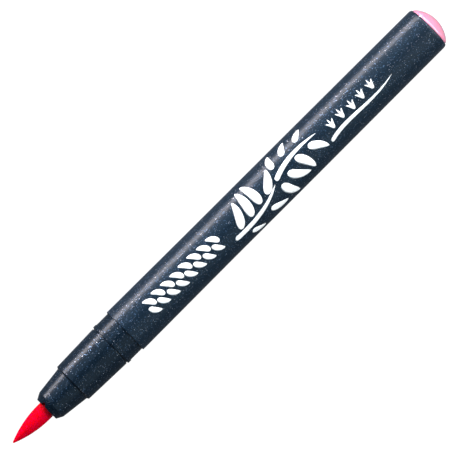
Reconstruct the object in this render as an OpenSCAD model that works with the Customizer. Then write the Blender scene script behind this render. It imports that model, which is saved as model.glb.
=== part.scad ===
// Brush pen, uncapped, lying on its side.
// Origin: the point of the brush nib, on the pen's axis. +X runs from the nib to the tail,
// +Z is the printed side. Millimetres.

/* [Barrel] */
// Length of the barrel, from its front edge to its rear edge
barrel_l = 99.2; // [70:0.2:130]
// Outside diameter at the front edge, the thickest place of the pen
barrel_front_d = 12; // [10.5:0.1:16]
// How much smaller the radius is along the parallel stretch
grip_drop = 0.11; // [0:0.01:0.2]
// How much smaller the radius is at the rear edge
tail_drop = 0.19; // [0.1:0.01:0.4]
// Length of the tapering stretch in front of the parallel one
taper_l = 28; // [14:1:40]
// Length of the parallel stretch, where a loop or a clamp holds the pen
grip_l = 30; // [5:1:30]
// Radius of the rear edge's rounding
rear_round = 0.5; // [0.1:0.05:0.5]
// Radius of the front edge's rounding
front_round = 0.12; // [0.05:0.01:0.2]
// Wall at the rear end, beside the reservoir
barrel_wall = 0.95; // [0.8:0.05:1.5]
// Wall around the front socket
socket_wall = 0.8; // [0.6:0.05:0.9]
// Number of ribs that centre the reservoir
rib_count = 6; // [3:1:12]
// Width of a rib
rib_w = 0.6; // [0.3:0.1:1.2]

/* [Front section] */
// How far the collar lies below the barrel's front edge
shoulder_step = 0.375; // [0.2:0.025:0.5]
// Length of the collar in front of the barrel
collar_l = 3.65; // [2:0.05:8]
// Length of the ring that the cap clicks over
ridge_l = 1; // [0.6:0.1:2]
// How far the ring stands above the collar
ridge_h = 0.15; // [0.05:0.01:0.3]
// Length of the cap seat
seat_l = 12.2; // [8:0.1:20]
// How far the seat's rear end lies below the collar
seat_drop = 0.075; // [0.02:0.005:0.2]
// How much smaller the seat's radius is at its front end
seat_taper = 0.35; // [0.1:0.05:0.5]
// Depth of the fine groove in front of the ring
groove_depth = 0.12; // [0.05:0.01:0.2]
// Width of the fine grooves
groove_w = 0.35; // [0.2:0.05:0.6]
// Length of the bevel between nose and seat
step_l = 0.3; // [0.1:0.05:1]
// Height of the bevel between nose and seat
step_h = 0.475; // [0.2:0.025:0.6]
// Length of the nose's cone
nose_l = 6.75; // [5:0.05:12]
// Length of the chamfer at the nose's rim
chamfer_l = 1.55; // [0.5:0.05:2.5]
// How far the chamfer rises
chamfer_h = 0.83; // [0.3:0.01:1]
// Width of the nose's flat rim around the nib
lip_w = 0.93; // [0.4:0.01:1.2]
// Length of the spigot inside the barrel
spigot_l = 12; // [8:0.5:20]
// Wall of the spigot
spigot_wall = 0.6; // [0.4:0.05:0.8]
// Length of the bore that guides the nib
guide_l = 4.2; // [2:0.1:4.5]
// Depth of the reservoir's seat inside the spigot
reservoir_seat_l = 10; // [4:0.5:11]

/* [Vent slots] */
// Width of an air slot in the nose's rim
vent_w = 1.1; // [0.6:0.1:1.5]
// Depth of an air slot
vent_depth = 0.68; // [0.6:0.02:1.2]
// Angle of the first slot from the printed side
vent_angle = 24; // [0:1:90]

/* [Nib] */
// Length of the nib outside the nose
nib_l = 10.9; // [7:0.1:16]
// Largest diameter of the nib
nib_d = 4.25; // [3:0.05:5.2]
// How far behind the point the nib is thickest
nib_belly_l = 10; // [6:0.1:15]
// Radius of the nib's point
nib_point_r = 0.2; // [0.1:0.05:0.4]
// How much thinner the shank's radius is than the belly's
nib_waist = 0.07; // [0:0.01:0.15]
// Thickness of the nib's flange
flange_l = 1.2; // [0.6:0.1:2]
// How far the flange stands out around the nib
flange_h = 1.08; // [0.5:0.02:1.2]
// Length of the stub behind the flange
stub_l = 3.6; // [2:0.1:6]
// Wall of the stub around the relay core
stub_wall = 0.7; // [0.4:0.05:1]

/* [Ink system] */
// Diameter of the relay core
core_d = 2; // [1.2:0.1:2.6]
// How far the relay core reaches into the nib, from the end of its stub
core_in_nib = 7; // [3:0.5:9]
// How far the relay core reaches into the reservoir
core_in_reservoir = 14; // [5:1:40]
// Thickness of the film around the reservoir
film_t = 0.1; // [0.05:0.05:0.3]
// Bare fibre at each end of the film
film_inset = 0.5; // [0.2:0.1:3]
// Number of air flutes along the nib retainer
flute_count = 4; // [3:1:6]
// Radius of an air flute
flute_r = 0.5; // [0.3:0.05:0.6]

/* [Tail plug] */
// Height of the dome above the barrel's rear edge
dome_h = 2.6; // [1:0.1:5]
// Height of the plain rim under the dome
dome_rim = 0.5; // [0.1:0.05:0.6]
// Radius of the rounding between rim and dome
dome_round = 0.3; // [0.05:0.05:0.5]
// Width of the barrel's edge beside the plug
plug_inset = 0.535; // [0.51:0.005:0.7]
// Thickness of the plug's flange in the counterbore
plug_flange_l = 1; // [0.5:0.1:2]
// Length of the plug's spigot
plug_spigot_l = 5; // [3.5:0.5:10]
// Wall of the plug's spigot
plug_wall = 0.8; // [0.5:0.05:1.2]
// Length of the prongs that hold the reservoir
prong_l = 2; // [1:0.5:5]
// Number of prongs
prong_count = 4; // [2:1:6]
// Width of the air gaps between prongs
prong_gap = 2.2; // [1:0.1:3]

/* [Cap] */
// Free distance between the nib's point and the cap's mouth, with the cap off
cap_gap = 10; // [2:1:60]
// Wall of the cap at its mouth
cap_wall = 0.65; // [0.5:0.05:1.5]
// How much smaller the cap's radius is at its closed end
cap_taper = 0.2; // [0:0.05:0.4]
// Thickness of the cap's end wall
cap_end_wall = 1.2; // [0.8:0.1:3]
// Radius of the rounding at the closed end
cap_round = 1.2; // [0.3:0.1:1.5]
// Radius of the rounding at the cap's mouth
mouth_round = 0.2; // [0.05:0.05:0.3]
// Diameter of the air hole in the end wall
cap_vent_d = 1.6; // [1:0.1:3]

/* [Inner cap] */
// Space between the nib's point and the inner cap's end, with the cap on
point_room = 1.5; // [0.5:0.1:5]
// Wall of the inner cap
inner_wall = 0.8; // [0.5:0.05:0.9]
// Length of the inner cap's flange
inner_flange_l = 2; // [1:0.1:4]
// Height of the ribs that stand on the end wall
inner_rib_h = 1; // [0.5:0.1:3]
// Thickness of those ribs
inner_rib_t = 0.8; // [0.5:0.1:1.5]
// Number of those ribs, and of the air notches between them
inner_rib_count = 4; // [3:1:6]
// Space between the inner cap's rim and the nose's step, with the cap on
rim_room = 0.25; // [0.1:0.05:1]
// Length of the sealing cone
seal_l = 5.8; // [2:0.1:6]
// Least wall around the sealing cone
seal_lip = 0.1; // [0.1:0.05:0.4]
// Width of the air notches in the flange
notch_w = 1.6; // [0.8:0.1:3]

/* [Fits] */
// Radial clearance of pieces that are pressed together
press_gap = 0.03; // [0.01:0.01:0.05]
// Radial clearance between the cap and the front section
cap_clearance = 0.1; // [0.05:0.01:0.15]
// Height of the snap beads on both spigots
bead_h = 0.15; // [0.05:0.01:0.2]
// Radius of a snap bead
bead_r = 0.6; // [0.4:0.1:1]
// Distance from a spigot's shoulder to its snap bead
bead_place = 3; // [2:0.5:3]

/* [Hidden] */
$fn = 128;
// Overshoot of a cutting shape past the face that it cuts
eps = 0.5;
// The same for the small cuts that round an outline's corner
corner_eps = 0.01;
// Facets of a circle that is much larger than the piece it bounds
large_circle_fn = 512;

// Places along the axis
nose_x = nib_l;
cone_x = nose_x + chamfer_l;
step_x = cone_x + nose_l;
seat_x = step_x + step_l;
ridge_x = seat_x + seat_l;
collar_x = ridge_x + ridge_l;
barrel_x = collar_x + collar_l;
spigot_end_x = barrel_x + spigot_l;
tail_x = barrel_x + barrel_l;

// Radii outside
barrel_r = barrel_front_d / 2;
grip_r = barrel_r - grip_drop;
tail_r = barrel_r - tail_drop;
collar_r = barrel_r - shoulder_step;
ridge_r = collar_r + ridge_h;
seat_rear_r = collar_r - seat_drop;
seat_front_r = seat_rear_r - seat_taper;
nose_base_r = seat_front_r - step_h;

// The barrel's parallel stretch
grip_x = barrel_x + taper_l;
grip_end_x = grip_x + grip_l;

// The nib, its chamber and the nose around it
nib_r = nib_d / 2;
shank_r = nib_r - nib_waist;
guide_r = nib_r + press_gap;
nose_face_r = guide_r + lip_w;
nose_rim_r = nose_face_r + chamfer_h;
flange_x = nose_x + guide_l;
flange_end_x = flange_x + flange_l;
flange_r = nib_r + flange_h;
chamber_r = flange_r + press_gap;
stub_end_x = flange_end_x + stub_l;
core_r = core_d / 2;
core_hole_r = core_r + press_gap;
stub_r = core_hole_r + stub_wall;

// The nib's ogive: one arc that is tangent to the belly and to the small ball at the point
ogive_run = nib_belly_l - nib_point_r;
ogive_r = (pow(ogive_run, 2) + pow(nib_r, 2) - pow(nib_point_r, 2)) / (2 * (nib_r - nib_point_r));
tangent_x = nib_point_r - nib_point_r * ogive_run / (ogive_r - nib_point_r);

// The reservoir and its seat in the front section
socket_r = barrel_r - socket_wall;
spigot_r = socket_r - press_gap;
reservoir_seat_r = spigot_r - spigot_wall;
film_r = reservoir_seat_r - press_gap;
reservoir_r = film_r - film_t;
reservoir_x = spigot_end_x - reservoir_seat_l;
core_x = stub_end_x - core_in_nib;
core_end_x = reservoir_x + core_in_reservoir;

// The tail plug
bore_r = tail_r - barrel_wall;
plug_r = tail_r - plug_inset;
counterbore_r = plug_r + press_gap;
plug_flange_x = tail_x - plug_flange_l;
plug_spigot_x = plug_flange_x - plug_spigot_l;
plug_spigot_r = bore_r - press_gap;
reservoir_end_x = plug_spigot_x - prong_l;
dome_arc_h = dome_h - dome_rim;
dome_r = (pow(plug_r, 2) + pow(dome_arc_h, 2)) / (2 * dome_arc_h);
dome_centre_x = tail_x + dome_h - dome_r;
// The rounding between the dome and its rim: a small arc that is tangent to both
round_r = plug_r - dome_round;
round_x = dome_centre_x + sqrt(pow(dome_r - dome_round, 2) - pow(round_r, 2));
dome_edge_r = dome_r * round_r / (dome_r - dome_round);

// The cap, placed as if it were on the pen, then moved off by cap_travel
cap_travel = barrel_x + cap_gap;
cap_bore_r = ridge_r + cap_clearance;
cap_mouth_r = cap_bore_r + cap_wall;
cap_end_r = cap_mouth_r - cap_taper;
cap_seat_rear_r = seat_rear_r + cap_clearance;
cap_seat_front_r = seat_front_r + cap_clearance;
cap_lead_x = ridge_x - groove_w;
inner_x = -point_room - inner_wall;
cap_floor_x = inner_x - inner_rib_h;
cap_end_x = cap_floor_x - cap_end_wall;
inner_rim_x = step_x - rim_room;
seal_x = inner_rim_x - seal_l;
inner_flange_r = cap_seat_front_r - press_gap;
nose_slope = (nose_base_r - nose_rim_r) / nose_l;
seal_rear_r = nose_rim_r + nose_slope * (inner_rim_x - cone_x) + cap_clearance;
seal_front_r = nose_rim_r + nose_slope * (seal_x - cone_x) + cap_clearance;
inner_body_r = seal_front_r + inner_wall;
inner_lip_r = seal_rear_r + seal_lip;

// Turns an outline of [radius, place along X] points into a round piece
module lathe() {
    rotate([0, 90, 0]) rotate_extrude() children();
}

// A round bar along X from one place to another
module bar(x0, x1, r) {
    translate([x0, 0, 0]) rotate([0, 90, 0]) cylinder(h = x1 - x0, r = r);
}

// The outline's corner that a rounding takes away.
// side is 1 where the piece ends towards +X and -1 where it ends towards -X.
module corner_waste(r, x, radius, side) {
    translate([r - radius, x - side * radius]) mirror([0, side > 0 ? 0 : 1, 0]) difference() {
        square(radius + corner_eps);
        circle(radius);
    }
}

// A ring of round section, of which bead_h stands out of a spigot
module snap_ring(spigot_radius, x, gap) {
    lathe() intersection() {
        translate([spigot_radius + bead_h - bead_r, x]) circle(bead_r + gap);
        translate([spigot_radius - bead_h, x - 2 * bead_r]) square([4 * bead_h, 4 * bead_r]);
    }
}

// Copies children to count places around the axis
module around(count) {
    for (i = [0 : count - 1]) rotate([i * 360 / count, 0, 0]) children();
}

module barrel_outline() {
    difference() {
        polygon([[0, barrel_x], [barrel_r, barrel_x], [grip_r, grip_x], [grip_r, grip_end_x],
                 [tail_r, tail_x], [0, tail_x]]);
        corner_waste(barrel_r, barrel_x, front_round, -1);
        corner_waste(tail_r, tail_x, rear_round, 1);
    }
}

module barrel_ribs() {
    rib_x = spigot_end_x + eps;
    rib_l = reservoir_end_x - rib_x;
    rib_r = film_r + press_gap;
    around(rib_count)
        translate([rib_x, -rib_w / 2, rib_r]) cube([rib_l, rib_w, bore_r - rib_r + rib_w / 2]);
}

module barrel() {
    color("#24384e") union() {
        difference() {
            lathe() barrel_outline();
            bar(barrel_x - eps, tail_x + eps, bore_r);
            bar(barrel_x - eps, spigot_end_x + press_gap, socket_r);
            bar(plug_flange_x, tail_x + eps, counterbore_r);
            snap_ring(spigot_r, barrel_x + bead_place, press_gap);
            snap_ring(plug_spigot_r, plug_flange_x - bead_place, press_gap);
        }
        barrel_ribs();
    }
}

module dome_outline() {
    intersection() {
        translate([0, dome_centre_x]) circle(dome_r);
        translate([0, plug_flange_x]) square([dome_edge_r, plug_flange_l + dome_h]);
    }
    translate([round_r, round_x]) circle(dome_round);
    translate([0, plug_flange_x]) square([plug_r, round_x - plug_flange_x]);
}

module tail_plug() {
    color("#ffb4d7") difference() {
        union() {
            lathe() dome_outline();
            bar(reservoir_end_x, plug_flange_x + eps, plug_spigot_r);
            snap_ring(plug_spigot_r, plug_flange_x - bead_place, 0);
        }
        bar(reservoir_end_x - eps, plug_flange_x, plug_spigot_r - plug_wall);
        around(prong_count)
            translate([reservoir_end_x - eps, -prong_gap / 2, 0]) cube([prong_l + eps, prong_gap, bore_r]);
    }
}

module section_outline() {
    difference() {
        polygon([[0, nose_x], [nose_face_r, nose_x], [nose_rim_r, cone_x], [nose_base_r, step_x],
                 [seat_front_r, seat_x], [seat_rear_r, ridge_x], [ridge_r, ridge_x],
                 [ridge_r, collar_x], [collar_r, collar_x], [collar_r, barrel_x],
                 [spigot_r, barrel_x], [spigot_r, spigot_end_x], [0, spigot_end_x]]);
        translate([seat_rear_r - groove_depth, ridge_x - groove_w]) square([ridge_r, groove_w]);
        corner_waste(ridge_r, ridge_x, ridge_h, -1);
        corner_waste(ridge_r, collar_x, ridge_h, 1);
    }
}

module vent_slot() {
    rotate([-vent_angle, 0, 0]) {
        translate([nose_x + vent_depth - vent_w / 2, 0, 0]) cylinder(h = seat_front_r, d = vent_w);
        translate([nose_x - eps, -vent_w / 2, 0])
            cube([vent_depth - vent_w / 2 + eps, vent_w, seat_front_r]);
    }
}

module front_section() {
    color("#24384e") difference() {
        union() {
            lathe() section_outline();
            snap_ring(spigot_r, barrel_x + bead_place, 0);
        }
        bar(nose_x - eps, flange_x + eps, guide_r);
        bar(flange_x, spigot_end_x + eps, chamber_r);
        bar(reservoir_x, spigot_end_x + eps, reservoir_seat_r);
        vent_slot();
        rotate([180, 0, 0]) vent_slot();
    }
}

module nib_outline() {
    intersection() {
        translate([nib_r - ogive_r, nib_belly_l]) circle(ogive_r, $fn = large_circle_fn);
        translate([0, tangent_x]) square([nib_r, flange_x - tangent_x]);
    }
    intersection() {
        translate([0, nib_point_r]) circle(nib_point_r);
        square([nib_point_r, nib_point_r]);
    }
    translate([0, nose_x]) square([shank_r, guide_l + flange_l]);
    translate([0, flange_x]) square([flange_r, flange_l]);
    translate([0, flange_x]) square([stub_r, flange_l + stub_l]);
}

module brush_nib() {
    color("#eb000f") difference() {
        lathe() nib_outline();
        bar(core_x, stub_end_x + eps, core_hole_r);
    }
}

module nib_retainer() {
    color("#d8dcdf") difference() {
        bar(flange_end_x, reservoir_x, flange_r);
        bar(flange_end_x - eps, stub_end_x, stub_r + press_gap);
        bar(flange_end_x - eps, reservoir_x + eps, core_hole_r);
        around(flute_count)
            translate([0, 0, flange_r]) bar(flange_end_x - eps, reservoir_x + eps, flute_r);
    }
}

module relay_core() {
    point_l = core_r;
    color("#f2c9cf") lathe() polygon([[0, core_x], [core_r, core_x], [core_r, core_end_x - point_l],
                                      [0, core_end_x]]);
}

module ink_reservoir() {
    color("#e64a5a") difference() {
        bar(reservoir_x, reservoir_end_x, reservoir_r);
        bar(reservoir_x - eps, core_end_x, core_hole_r);
    }
}

module reservoir_film() {
    color("#e8eef2") difference() {
        bar(reservoir_x + film_inset, reservoir_end_x - film_inset, film_r);
        bar(reservoir_x, reservoir_end_x, reservoir_r);
    }
}

// The cap's pieces are drawn where they are with the cap on
module off_the_pen() {
    translate([-cap_travel, 0, 0]) children();
}

module cap_outline() {
    difference() {
        polygon([[0, cap_end_x], [cap_end_r, cap_end_x], [cap_mouth_r, barrel_x], [0, barrel_x]]);
        corner_waste(cap_end_r, cap_end_x, cap_round, -1);
        corner_waste(cap_mouth_r, barrel_x, mouth_round, 1);
        polygon([[0, cap_floor_x], [cap_seat_front_r, cap_floor_x], [cap_seat_front_r, seat_x],
                 [cap_seat_rear_r, cap_lead_x], [cap_bore_r, cap_lead_x],
                 [cap_bore_r, barrel_x + eps], [0, barrel_x + eps]]);
    }
}

module cap_shell() {
    color("#24384e") off_the_pen() difference() {
        lathe() cap_outline();
        bar(cap_end_x - eps, cap_floor_x + eps, cap_vent_d / 2);
    }
}

module inner_cap_outline() {
    difference() {
        union() {
            translate([0, inner_x]) square([inner_body_r, inner_rim_x - inner_x]);
            translate([0, inner_rim_x - inner_flange_l]) square([inner_flange_r, inner_flange_l]);
            polygon([[0, seal_x], [seal_front_r + seal_lip, seal_x], [inner_lip_r, inner_rim_x],
                     [0, inner_rim_x]]);
        }
        polygon([[0, -point_room], [seal_front_r, -point_room], [seal_front_r, seal_x],
                 [seal_rear_r, inner_rim_x], [seal_rear_r, inner_rim_x + eps], [0, inner_rim_x + eps]]);
    }
}

// A foot that keeps the inner cap clear of the air hole
module inner_cap_foot() {
    foot_h = inner_body_r - inner_wall - cap_vent_d;
    translate([cap_floor_x, -inner_rib_t / 2, cap_vent_d])
        cube([inner_rib_h + inner_wall / 2, inner_rib_t, foot_h]);
}

// A notch that lets air past the flange
module air_notch() {
    notch_r = max(inner_body_r, inner_lip_r);
    translate([inner_rim_x - inner_flange_l - eps, -notch_w / 2, notch_r])
        cube([inner_flange_l + 2 * eps, notch_w, inner_flange_r]);
}

module inner_cap() {
    color("#dfe3e6") off_the_pen() difference() {
        union() {
            lathe() inner_cap_outline();
            around(inner_rib_count) inner_cap_foot();
        }
        around(inner_rib_count) rotate([180 / inner_rib_count, 0, 0]) air_notch();
    }
}

barrel();
tail_plug();
front_section();
brush_nib();
nib_retainer();
relay_core();
ink_reservoir();
reservoir_film();
cap_shell();
inner_cap();
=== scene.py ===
# %% [markdown]
# # A brush pen, turned and finished in Blender
# The pen is a slim moulded barrel with a stepped front section, a soft red brush nib, a pink
# tail plug and a cap that has been pulled off and lies in line with the pen. Its sizes, its
# places and its one moving joint come from a packed engineering model, which is loaded first.
# The pieces that show are then built again here with finer outlines, the inner ones stay as
# they are, and every piece is given a finish.

# %% Load the frame
import math

import bmesh
import bpy
import numpy as np
from mathutils import Matrix, Vector


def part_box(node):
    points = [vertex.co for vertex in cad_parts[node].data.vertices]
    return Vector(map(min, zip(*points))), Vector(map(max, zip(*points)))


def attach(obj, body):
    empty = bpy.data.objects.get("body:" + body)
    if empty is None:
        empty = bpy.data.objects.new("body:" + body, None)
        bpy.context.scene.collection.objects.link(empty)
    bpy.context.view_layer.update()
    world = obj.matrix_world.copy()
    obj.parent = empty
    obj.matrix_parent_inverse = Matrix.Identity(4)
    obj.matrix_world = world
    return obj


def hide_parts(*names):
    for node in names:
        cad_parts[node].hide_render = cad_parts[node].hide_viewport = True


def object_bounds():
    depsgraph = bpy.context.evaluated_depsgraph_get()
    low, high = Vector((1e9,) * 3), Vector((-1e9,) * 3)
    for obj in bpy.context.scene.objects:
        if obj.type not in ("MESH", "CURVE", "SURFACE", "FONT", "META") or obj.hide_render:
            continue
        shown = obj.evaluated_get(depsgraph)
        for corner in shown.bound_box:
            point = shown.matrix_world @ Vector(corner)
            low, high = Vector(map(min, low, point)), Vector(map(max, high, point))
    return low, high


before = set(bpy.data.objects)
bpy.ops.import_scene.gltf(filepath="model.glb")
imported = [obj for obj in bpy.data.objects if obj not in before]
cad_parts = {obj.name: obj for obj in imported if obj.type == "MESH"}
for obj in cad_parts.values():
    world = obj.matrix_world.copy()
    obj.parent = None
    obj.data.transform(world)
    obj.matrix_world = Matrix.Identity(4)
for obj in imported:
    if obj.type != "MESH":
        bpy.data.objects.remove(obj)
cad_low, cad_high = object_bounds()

MM = 0.001
scene = bpy.context.scene
print("The packed model runs along X from", round(cad_low.x / MM, 2), "to",
      round(cad_high.x / MM, 2), "mm")

# %% [markdown]
# ## Places along the pen
# A pen is turned round one axis, so two numbers place anything on it: how far along the axis
# it is, and how far from the axis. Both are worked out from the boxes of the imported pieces,
# and only the small mouldings between them are given as sizes of their own. All of these are
# in millimetres, because a moulding's drawing is, and the mesh helper turns them into metres.

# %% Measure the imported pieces
def ends(node):
    """Where a piece starts and ends along the axis, in millimetres."""
    low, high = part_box(node)
    return low.x / MM, high.x / MM


def width(node):
    """Half of a piece's width across the axis, in millimetres."""
    low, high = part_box(node)
    return max(high.y, high.z, -low.y, -low.z) / MM


barrel_x, tail_x = ends("barrel")
nose_x, spigot_end_x = ends("front_section")
dome_x = ends("tail_plug")[1]
cap_end_x, cap_mouth_x = ends("cap_shell")
stub_end_x = ends("brush_nib")[1]
cap_travel = barrel_x - cap_mouth_x

barrel_r = round(width("barrel"), 2)
cap_mouth_r = round(width("cap_shell"), 3)
plug_r = round(width("tail_plug"), 3)
flange_r = round(width("brush_nib"), 3)
floor_z = cad_low.z
print("Barrel", round(barrel_x, 2), "to", round(tail_x, 2), "mm, radius", barrel_r, "mm")
print("Cap mouth at", round(cap_mouth_x, 2), "mm, radius", cap_mouth_r, "mm, travel",
      round(cap_travel, 2), "mm")

# %% [markdown]
# ## A lathe for outlines
# Blender's Screw modifier can turn an outline into a round piece, but the shading of a turned
# piece is only as good as its normals, and smooth shading bends the light over every edge.
# So this lathe takes the outline's corners with the radius of each rounding, as a mould maker
# gives them, lays true arcs into them and keeps each arc's own normals. The normals are then
# stored in the mesh, so a flat face stays flat right up to the rounding beside it.

# %% Roundings
TINY = 1e-9
rounding_steps = 5


def rounded(corners, closed):
    """Points (x, radius) and normals of an outline whose corners are (x, radius, rounding).
    A point with no rounding has no normal yet, and gets one from its neighbours."""
    points, normals = [], []
    count = len(corners)
    usable = 0.95  # of a side, so that two roundings never quite meet on it
    for i, (x, r, rounding) in enumerate(corners):
        here = np.array([x, r], float)
        if rounding <= 0 or (not closed and i in (0, count - 1)):
            points.append(here)
            normals.append(None)
            continue
        before = here - np.array(corners[i - 1][:2], float)
        after = np.array(corners[(i + 1) % count][:2], float) - here
        shares = [rounding / (rounding + corners[k % count][2]) for k in (i - 1, i + 1)]
        room = usable * min(np.linalg.norm(before) * shares[0], np.linalg.norm(after) * shares[1])
        before /= np.linalg.norm(before)
        after /= np.linalg.norm(after)
        turn = math.atan2(before[0] * after[1] - before[1] * after[0], float(before @ after))
        radius = min(rounding, room / abs(math.tan(turn / 2)))
        side = math.copysign(1.0, turn)
        start = here - before * radius * abs(math.tan(turn / 2))
        centre = start + side * radius * np.array([-before[1], before[0]])
        for k in range(rounding_steps + 1):
            bend = turn * k / rounding_steps
            spoke = start - centre
            spoke = np.array([spoke[0] * math.cos(bend) - spoke[1] * math.sin(bend),
                              spoke[0] * math.sin(bend) + spoke[1] * math.cos(bend)])
            points.append(centre + spoke)
            normals.append(-side * spoke / radius)
    return points, normals


def stretches(points, normals, closed, longest):
    """The outline cut into short stretches, each with the normals at its two ends.
    Neighbours that meet at a shallow angle share a normal, and the others meet at an edge."""
    shallow = math.cos(math.radians(25))
    count = len(points)
    last = count if closed else count - 1
    facing = []
    for i in range(last):
        along = points[(i + 1) % count] - points[i]
        along = along / np.linalg.norm(along)
        facing.append(np.array([-along[1], along[0]]))
    pieces = []
    for i in range(last):
        j = (i + 1) % count
        n0, n1 = normals[i], normals[j]
        if n0 is None:
            other = facing[i - 1] if (closed or i > 0) else facing[i]
            n0 = facing[i] + other if facing[i] @ other > shallow else facing[i]
        if n1 is None:
            other = facing[j] if j < len(facing) else facing[i]
            n1 = facing[i] + other if facing[i] @ other > shallow else facing[i]
        cuts = max(1, math.ceil(np.linalg.norm(points[j] - points[i]) / longest))
        for k in range(cuts):
            a, b = k / cuts, (k + 1) / cuts
            ends_of = [points[i] * (1 - t) + points[j] * t for t in (a, b)]
            facing_of = [n0 * (1 - t) + n1 * t for t in (a, b)]
            pieces.append((ends_of, [n / np.linalg.norm(n) for n in facing_of]))
    return pieces


# %% The lathe itself
def turned(name, corners, closed=True, segments=256, longest=1.2):
    """A round piece about the X axis. The outline runs towards +X on the outside. longest is
    how long a face may be along it, in millimetres."""
    points, normals = rounded(corners, closed)
    pieces = stretches(points, normals, closed, longest)
    rings = [ends_of[0] for ends_of, _ in pieces]
    if not closed:
        rings.append(pieces[-1][0][1])
    angles = np.arange(segments) * 2 * math.pi / segments
    verts, first = [], []
    for x, r in rings:
        first.append(len(verts))
        around = angles[:1] if r < TINY else angles
        verts += [(x * MM, r * math.sin(a) * MM, r * math.cos(a) * MM) for a in around]
    faces, loop_normals = [], []
    for i, (_, (n0, n1)) in enumerate(pieces):
        j = (i + 1) % len(rings)
        for k in range(segments):
            m = (k + 1) % segments
            corner = [(first[i] + k, n0, k), (first[j] + k, n1, k),
                      (first[j] + m, n1, m), (first[i] + m, n0, m)]
            if rings[i][1] < TINY:
                corner = [(first[i], n0, k)] + corner[1:3]
            elif rings[j][1] < TINY:
                corner = [corner[0], (first[j], n1, k), corner[3]]
            faces.append([c[0] for c in corner])
            for _, n, step in corner:
                a = angles[step]
                loop_normals.append((n[0], n[1] * math.sin(a), n[1] * math.cos(a)))
    mesh = bpy.data.meshes.new(name)
    mesh.from_pydata(verts, [], faces)
    mesh.polygons.foreach_set("use_smooth", [True] * len(faces))
    mesh.normals_split_custom_set(loop_normals)
    piece = bpy.data.objects.new(name, mesh)
    scene.collection.objects.link(piece)
    print(name, "has", len(faces), "faces")
    return piece


def arc(x0, x1, radius_at, count):
    """Outline points along a curve that gives the radius at each place."""
    places = np.linspace(x0, x1, count + 1)
    return [(float(x), float(radius_at(x)), 0) for x in places]


# %% [markdown]
# ## The barrel
# The real barrel is one long injection-moulded tube. A mould opens more easily when its walls
# lean a little, so the tube is thickest at the front and thins by fractions of a millimetre
# towards the tail, with a parallel stretch for a loop or a clamp. Its front edge is crisp. Its
# rear edge rolls off softly, so it is a quarter of an ellipse, longer than it is deep, where a
# plain arc would have only one radius.
# The ribs inside can't be seen with the pen closed up, so only the bores are turned here.

# %% Turn the barrel
grip_start, grip_end = 28, 58
grip_draft, tail_draft = 0.11, 0.19
front_wall, rear_wall = 0.8, 0.95
fit_gap, plug_inset = 0.03, 1
grip_x, grip_end_x = barrel_x + grip_start, barrel_x + grip_end
grip_r, tail_r = barrel_r - grip_draft, barrel_r - tail_draft
socket_r, bore_r = barrel_r - front_wall, tail_r - rear_wall
plug_seat_x = tail_x - plug_inset


def barrel_radius(x):
    """The barrel's outside radius at a place along it."""
    return float(np.interp(x, [barrel_x, grip_x, grip_end_x, tail_x],
                           [barrel_r, grip_r, grip_r, tail_r]))


rear_long, rear_deep = 0.8, 0.33
rear_edge = [(tail_x - rear_long * (1 - math.sin(a)), tail_r - rear_deep * (1 - math.cos(a)), 0)
             for a in np.linspace(0, math.pi / 2, 12)]
barrel = turned("barrel_tube", [
    (barrel_x, barrel_r, 0.12), (grip_x, grip_r, 0), (grip_end_x, grip_r, 0)] + rear_edge + [
    (tail_x, plug_r + fit_gap, 0), (plug_seat_x, plug_r + fit_gap, 0), (plug_seat_x, bore_r, 0),
    (spigot_end_x, bore_r, 0), (spigot_end_x, socket_r, 0), (barrel_x, socket_r, 0.1)])

# %% [markdown]
# ## The front section
# This piece carries the nib and takes the cap. From the front it has a flat lip, a chamfer, a
# cone, a small step, the long seat for the cap, a fine groove and the ring that the cap clicks
# over. Each corner keeps the tiny radius that a mould leaves, because that is what catches a
# thin line of light. The two air slots in the lip are cut afterwards with a Boolean modifier:
# they could be drawn into the mesh, but a cutter of the real milled shape is easier to read.

# %% Outline of the front section
lip_r, rim_r = 3.085, 3.915
chamfer_l, nose_l, step_l, seat_l, ridge_l = 1.55, 8.3, 0.3, 12.5, 1
collar_drop, ridge_rise, step_drop = 0.375, 0.15, 0.475
seat_rear_drop, seat_front_drop = 0.075, 0.425
groove_depth, groove_w = 0.2, 0.35
flange_depth, reservoir_reach, spigot_wall = 4.2, 10, 0.6

cone_x, step_x = nose_x + chamfer_l, nose_x + nose_l
seat_x, ridge_x = step_x + step_l, step_x + seat_l
collar_x = ridge_x + ridge_l
collar_r = barrel_r - collar_drop
ridge_r = collar_r + ridge_rise
seat_rear_r, seat_front_r = collar_r - seat_rear_drop, collar_r - seat_front_drop
nose_base_r = seat_front_r - step_drop
groove_r = seat_rear_r - groove_depth
spigot_r = socket_r - fit_gap
guide_r, chamber_r = 2.155, flange_r + fit_gap
flange_x = nose_x + flange_depth
reservoir_x = spigot_end_x - reservoir_reach

section_corners = [
    (nose_x, lip_r, 0.1), (cone_x, rim_r, 0.12), (step_x, nose_base_r, 0.06),
    (seat_x, seat_front_r, 0.08), (ridge_x - groove_w, seat_rear_r, 0.03),
    (ridge_x - groove_w, groove_r, 0.04), (ridge_x, groove_r, 0.04), (ridge_x, ridge_r, 0.15),
    (collar_x, ridge_r, 0.15), (collar_x, collar_r, 0.05), (barrel_x, collar_r, 0.02),
    (barrel_x, spigot_r, 0), (spigot_end_x, spigot_r, 0.1),
    (spigot_end_x, spigot_r - spigot_wall, 0), (reservoir_x, spigot_r - spigot_wall, 0),
    (reservoir_x, chamber_r, 0), (flange_x, chamber_r, 0),
    (flange_x, guide_r, 0), (nose_x, guide_r, 0.1)]
section = turned("front_section_turned", section_corners)

# %% Cut the two air slots
slot_w, slot_depth, slot_angle = 1.1, 0.68, 24
slot_clear, slot_steps = 1, 16


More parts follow.
